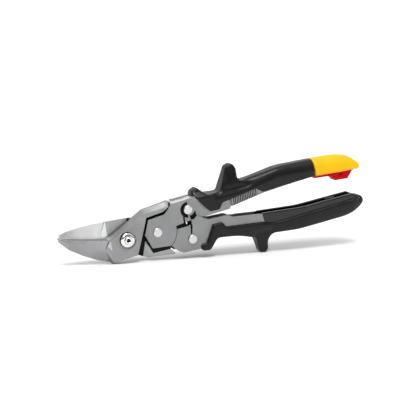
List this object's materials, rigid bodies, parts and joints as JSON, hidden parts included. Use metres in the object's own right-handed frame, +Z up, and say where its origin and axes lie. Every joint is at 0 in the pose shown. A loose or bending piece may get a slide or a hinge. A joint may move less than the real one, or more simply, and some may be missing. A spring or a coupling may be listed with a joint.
{
  "type": "aviation snips",
  "caption": "Compound-action sheet-metal snips with curved jaws, pressed channel handles, soft grips with finger guards, an end cap and a slide latch.",
  "frame": {"origin": "bottom centre of the bounding box, on the floor the tool stands on, in the plane between the two blades", "axes": "+X from the jaw tips towards the handle ends, +Y away from the near face along the pivots, +Z up from the jaw heel and rear finger guard"},
  "size_m": [0.2614, 0.0212, 0.0768],
  "materials": {
    "jaw_steel": "bead-blasted forged steel with ground cutting bevels",
    "handle_steel": "satin pressed steel",
    "rivet_steel": "bright flat-faced rivet heads",
    "bolt_chrome": "polished nickel-chrome",
    "zinc_hardware": "zinc-plated",
    "spring_steel": "oiled spring wire",
    "black_grip": "soft moulded grip, fine texture",
    "black_liner": "hard glossier black moulding",
    "yellow_cap": "satin yellow moulding",
    "red_latch": "satin red moulding"
  },
  "bodies": {
    "lower_handle": {"lower_handle_frame": "handle_steel", "lower_grip": "black_grip", "lower_liner": "black_liner", "handle_pivot_rivet": "rivet_steel", "lower_tail_rivet": "rivet_steel", "handle_spacer": "zinc_hardware", "lower_tail_washer": "zinc_hardware", "lower_spring_seat": "zinc_hardware", "latch_catch": "zinc_hardware", "return_spring": "spring_steel"},
    "upper_handle": {"upper_handle_frame": "handle_steel", "upper_grip": "black_grip", "end_cap": "yellow_cap", "upper_tail_rivet": "rivet_steel", "upper_tail_washer": "zinc_hardware", "upper_spring_seat": "zinc_hardware"},
    "far_jaw": {"far_jaw": "jaw_steel", "pivot_bolt": "bolt_chrome", "bolt_washer": "zinc_hardware", "pivot_nut": "zinc_hardware"},
    "near_jaw": {"near_jaw": "jaw_steel"},
    "latch": {"latch": "red_latch"}
  },
  "joints": [
    {"name": "handle_hinge", "type": "hinge", "parent": "lower_handle", "child": "upper_handle", "pos_m": [-0.05068, 0, 0.02295], "axis": [0, -1, 0], "range_deg": [-6, 38], "stiffness_Nm_per_rad": 2, "springref_deg": 4.3, "deforming": ["return_spring"]},
    {"name": "far_jaw_hinge", "type": "hinge", "parent": "lower_handle", "child": "far_jaw", "pos_m": [-0.02116, 0, 0.01567], "axis": [0, -1, 0], "range_deg": [-1.51, 9.6]},
    {"name": "jaw_hinge", "type": "hinge", "parent": "far_jaw", "child": "near_jaw", "pos_m": [-0.07568, 0, 0.01867], "axis": [0, -1, 0], "range_deg": [-2.97, 18.81]},
    {"name": "latch_slide", "type": "slide", "parent": "upper_handle", "child": "latch", "axis": [-0.9857, 0, -0.1685], "range_m": [0, 0.005]}
  ],
  "couplings": [
    {"joint": "far_jaw_hinge", "follows": "handle_hinge", "ratio": 0.2525},
    {"joint": "jaw_hinge", "follows": "handle_hinge", "ratio": 0.495}
  ]
}
